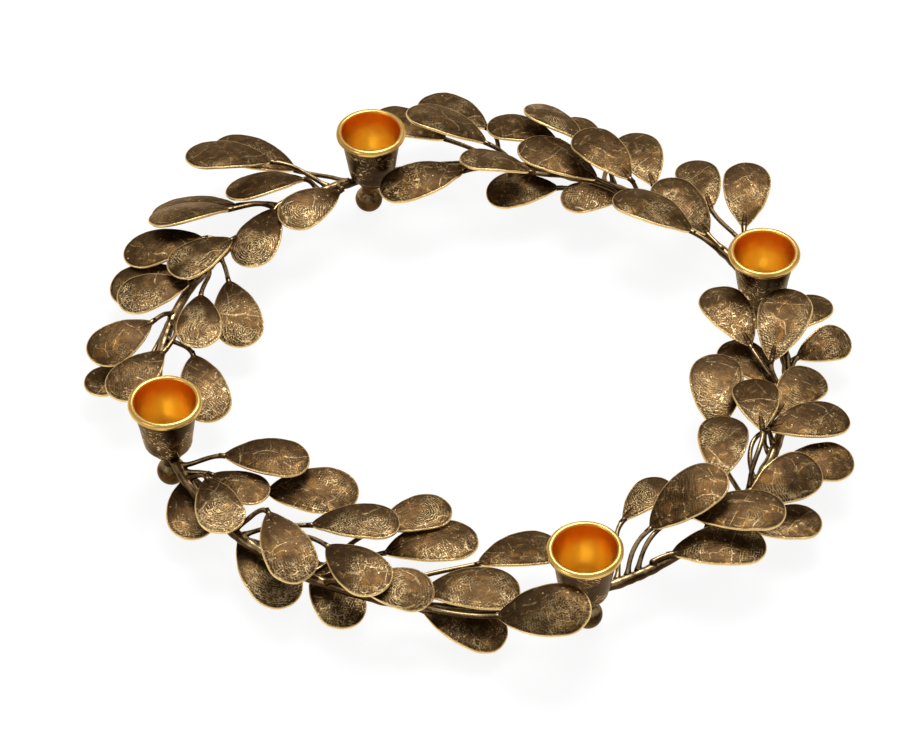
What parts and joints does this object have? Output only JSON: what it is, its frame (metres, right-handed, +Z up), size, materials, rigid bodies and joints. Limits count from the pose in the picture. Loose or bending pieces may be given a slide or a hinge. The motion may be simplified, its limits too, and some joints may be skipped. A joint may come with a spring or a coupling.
{
  "type": "candle ring",
  "caption": "Wreath-shaped table candle holder: domed metal leaves on wire stalks along a ring of bars, with flared taper cups on ball feet.",
  "frame": {"origin": "centre of the circle through the cup axes, at table height", "axes": "+Z up, +X to the right and -Y to the front of the picture"},
  "size_m": [0.3611, 0.3719, 0.05],
  "materials": {
    "leaf": "dark antique patina with rubbed golden relief and rims",
    "stalk": "dark antique patina, rubbed on top",
    "bar": "dark antique patina, rubbed on top",
    "cup": "dark patina outside, polished gold lip, warm golden inside",
    "foot": "dark antique patina with a golden highlight",
    "screw": "satin"
  },
  "bodies": {
    "root": {"bar_back": "bar", "cup_back": "cup", "screw_back": "screw", "foot_back": "foot", "leaves_back_1": "leaf", "stalks_back_1": "stalk", "leaves_back_2": "leaf", "stalks_back_2": "stalk", "leaves_back_3": "leaf", "stalks_back_3": "stalk", "leaves_back_4": "leaf", "stalks_back_4": "stalk", "leaves_back_5": "leaf", "stalks_back_5": "stalk", "bar_left": "bar", "cup_left": "cup", "screw_left": "screw", "foot_left": "foot", "leaves_left_1": "leaf", "stalks_left_1": "stalk", "leaves_left_2": "leaf", "stalks_left_2": "stalk", "leaves_left_3": "leaf", "stalks_left_3": "stalk", "leaves_left_4": "leaf", "stalks_left_4": "stalk", "leaves_left_5": "leaf", "stalks_left_5": "stalk", "bar_front": "bar", "cup_front": "cup", "screw_front": "screw", "foot_front": "foot", "leaves_front_1": "leaf", "stalks_front_1": "stalk", "leaves_front_2": "leaf", "stalks_front_2": "stalk", "leaves_front_3": "leaf", "stalks_front_3": "stalk", "leaves_front_4": "leaf", "stalks_front_4": "stalk", "leaves_front_5": "leaf", "stalks_front_5": "stalk", "bar_right": "bar", "cup_right": "cup", "screw_right": "screw", "foot_right": "foot", "leaves_right_1": "leaf", "stalks_right_1": "stalk", "leaves_right_2": "leaf", "stalks_right_2": "stalk", "leaves_right_3": "leaf", "stalks_right_3": "stalk", "leaves_right_4": "leaf", "stalks_right_4": "stalk", "leaves_right_5": "leaf", "stalks_right_5": "stalk"}
  },
  "joints": []
}
